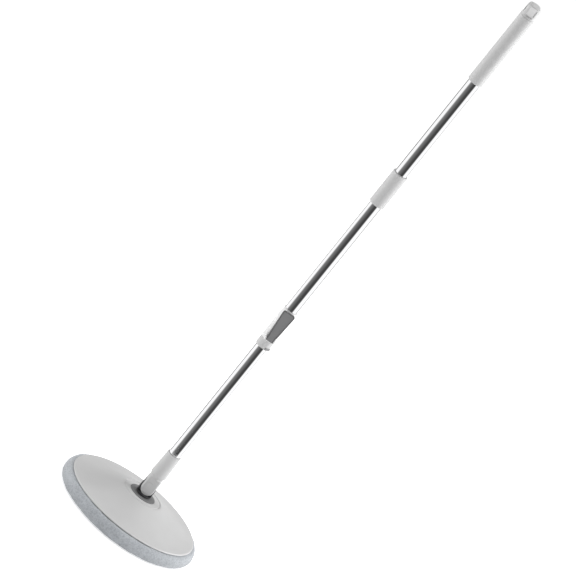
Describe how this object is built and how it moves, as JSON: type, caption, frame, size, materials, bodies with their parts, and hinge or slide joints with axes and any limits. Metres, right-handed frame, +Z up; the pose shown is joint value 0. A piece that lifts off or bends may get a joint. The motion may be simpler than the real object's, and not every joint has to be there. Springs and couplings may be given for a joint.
{
  "type": "spin mop",
  "caption": "Floor mop with a telescoping push-to-spin stainless handle, a lever clamp and a round tilting microfibre head.",
  "frame": {"origin": "centre of the pad's underside, on the handle's axis", "axes": "+Z up along the handle, -Y towards the side that the lever faces, +X to the right of someone who faces the lever"},
  "size_m": [0.3, 0.3, 1.298],
  "materials": {
    "stainless": "mirror-polished tube",
    "steel": "plain zinc-plated",
    "light_grey_plastic": "smooth satin moulding",
    "mid_grey_plastic": "satin moulding",
    "dark_grey_plastic": "fine matte moulding",
    "black_plastic": "matte moulding",
    "clear_white_plastic": "translucent milky moulding",
    "nylon": "natural moulding",
    "microfibre": "plush looped microfibre",
    "hook_tape": "hook tape"
  },
  "bodies": {
    "handle": {"hang_cap": "light_grey_plastic", "grip": "light_grey_plastic", "upper_tube": "stainless", "joiner_sleeve": "light_grey_plastic", "joiner_stud": "nylon", "joiner_socket": "nylon", "middle_tube": "stainless", "rod_anchor": "nylon", "spiral_rod": "steel", "rod_stop": "steel", "clamp_body": "clear_white_plastic", "clamp_collar": "light_grey_plastic", "collar_clip": "mid_grey_plastic", "guide_bush": "nylon", "lever_pin": "steel"},
    "lever": {"lever": "mid_grey_plastic"},
    "clamp_shoe": {"clamp_shoe": "nylon"},
    "nut_carrier": {"nut_carrier": "black_plastic", "clutch_spring": "steel"},
    "drive_nut": {"drive_nut": "nylon"},
    "lower_pole": {"lower_tube": "stainless", "ratchet_cup": "nylon", "ferrule": "light_grey_plastic", "ferrule_screw": "steel", "tilt_pin": "steel", "pin_clip": "steel", "cheek_cover_front": "light_grey_plastic", "cheek_cover_back": "light_grey_plastic"},
    "head": {"pivot_block": "black_plastic", "hub_plate": "dark_grey_plastic", "cover": "light_grey_plastic", "pad_plate": "nylon", "mop_pad": "microfibre", "plate_screw_1": "steel", "plate_screw_2": "steel", "plate_screw_3": "steel", "plate_screw_4": "steel", "plate_screw_5": "steel", "plate_screw_6": "steel", "hook_tape_1": "hook_tape", "hook_tape_2": "hook_tape", "hook_tape_3": "hook_tape", "hook_tape_4": "hook_tape", "hook_tape_5": "hook_tape", "hook_tape_6": "hook_tape", "pivot_screw_1": "steel", "pivot_screw_2": "steel"}
  },
  "joints": [
    {"name": "lever_flip", "type": "hinge", "parent": "handle", "child": "lever", "pos_m": [0, -0.0205, 0.4638], "axis": [1, 0, 0], "range_deg": [0, 130]},
    {"name": "shoe_slide", "type": "slide", "parent": "handle", "child": "clamp_shoe", "axis": [0, -1, 0], "range_m": [0, 0.0007]},
    {"name": "press_slide", "type": "slide", "parent": "handle", "child": "nut_carrier", "axis": [0, 0, 1], "range_m": [0, 0.18]},
    {"name": "nut_spin", "type": "hinge", "parent": "nut_carrier", "child": "drive_nut", "pos_m": [0, 0, 0.565], "axis": [0, 0, 1], "range_deg": [0, 721]},
    {"name": "head_spin", "type": "hinge", "parent": "nut_carrier", "child": "lower_pole", "pos_m": [0, 0, 0.5], "axis": [0, 0, 1], "continuous": true},
    {"name": "head_tilt", "type": "hinge", "parent": "lower_pole", "child": "head", "pos_m": [0, 0, 0.0768], "axis": [0, 1, 0], "range_deg": [-80, 80]}
  ],
  "couplings": [
    {"joint": "shoe_slide", "follows": "lever_flip", "m_per_rad": 0.00026444},
    {"joint": "nut_spin", "follows": "press_slide", "rad_per_m": 69.813}
  ]
}
